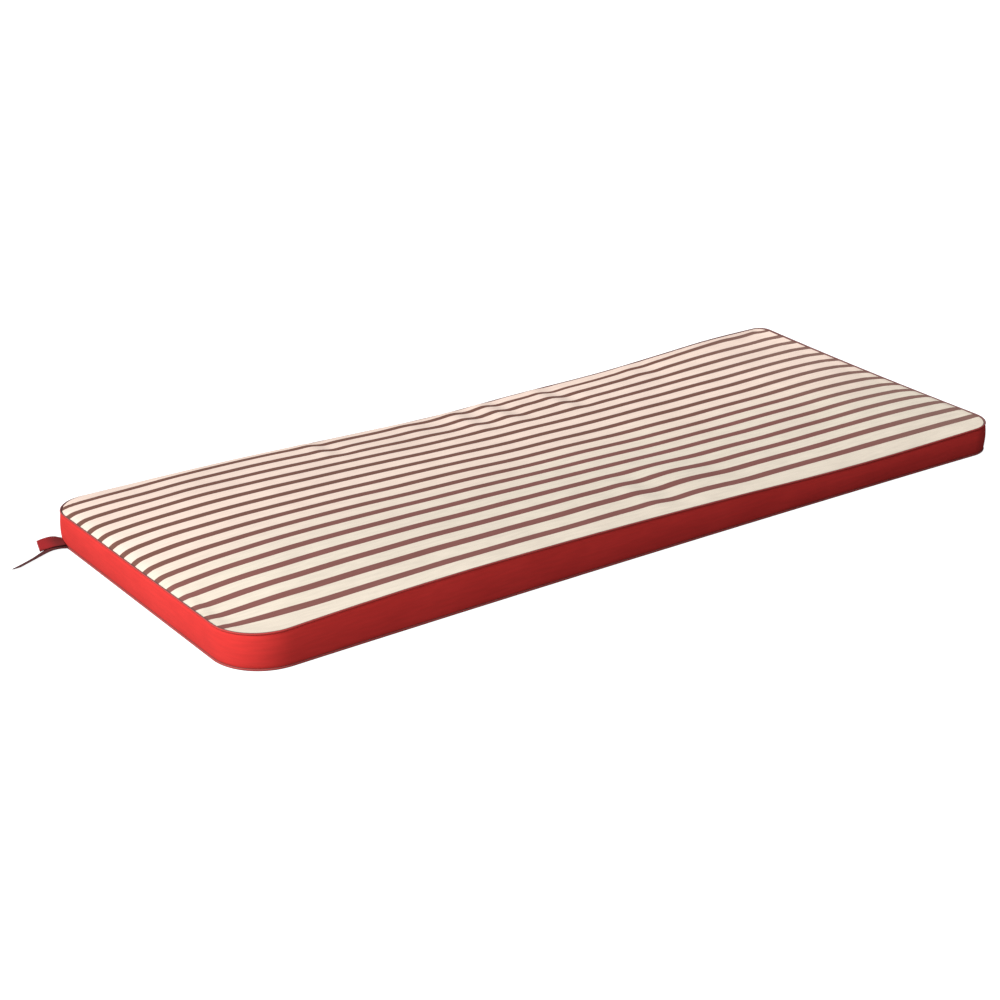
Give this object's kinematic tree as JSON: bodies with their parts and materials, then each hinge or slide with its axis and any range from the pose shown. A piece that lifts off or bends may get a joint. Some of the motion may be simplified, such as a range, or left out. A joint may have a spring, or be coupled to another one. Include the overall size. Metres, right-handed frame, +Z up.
{
  "type": "lounge chair cushion",
  "caption": "Long flat box cushion with rounded corners, a softly crowned striped top, plain sides, piped seams and a pair of tie tapes at one corner.",
  "frame": {"origin": "middle of the flat underside, on the surface that the cushion rests on", "axes": "+X along the length to the end away from the ties, +Y to the long side with the puckers, +Z up through the striped top"},
  "size_m": [1.3371, 0.5156, 0.0675],
  "materials": {
    "top_cloth": "plain woven cream canvas with lengthwise dusty maroon stripes",
    "side_cloth": "plain woven bright red canvas, matt",
    "piping_cloth": "plain woven bright red canvas over a thin cord, dark maroon where it lies in the fold of the top seam, matt",
    "tie_tape": "folded dark red canvas tape, matt"
  },
  "bodies": {
    "root": {"cushion_pad": "top_cloth", "boxing": "side_cloth", "base_panel": "side_cloth", "piping_top": "piping_cloth", "piping_base": "piping_cloth", "tie_short": "tie_tape", "tie_long": "tie_tape"}
  },
  "joints": []
}
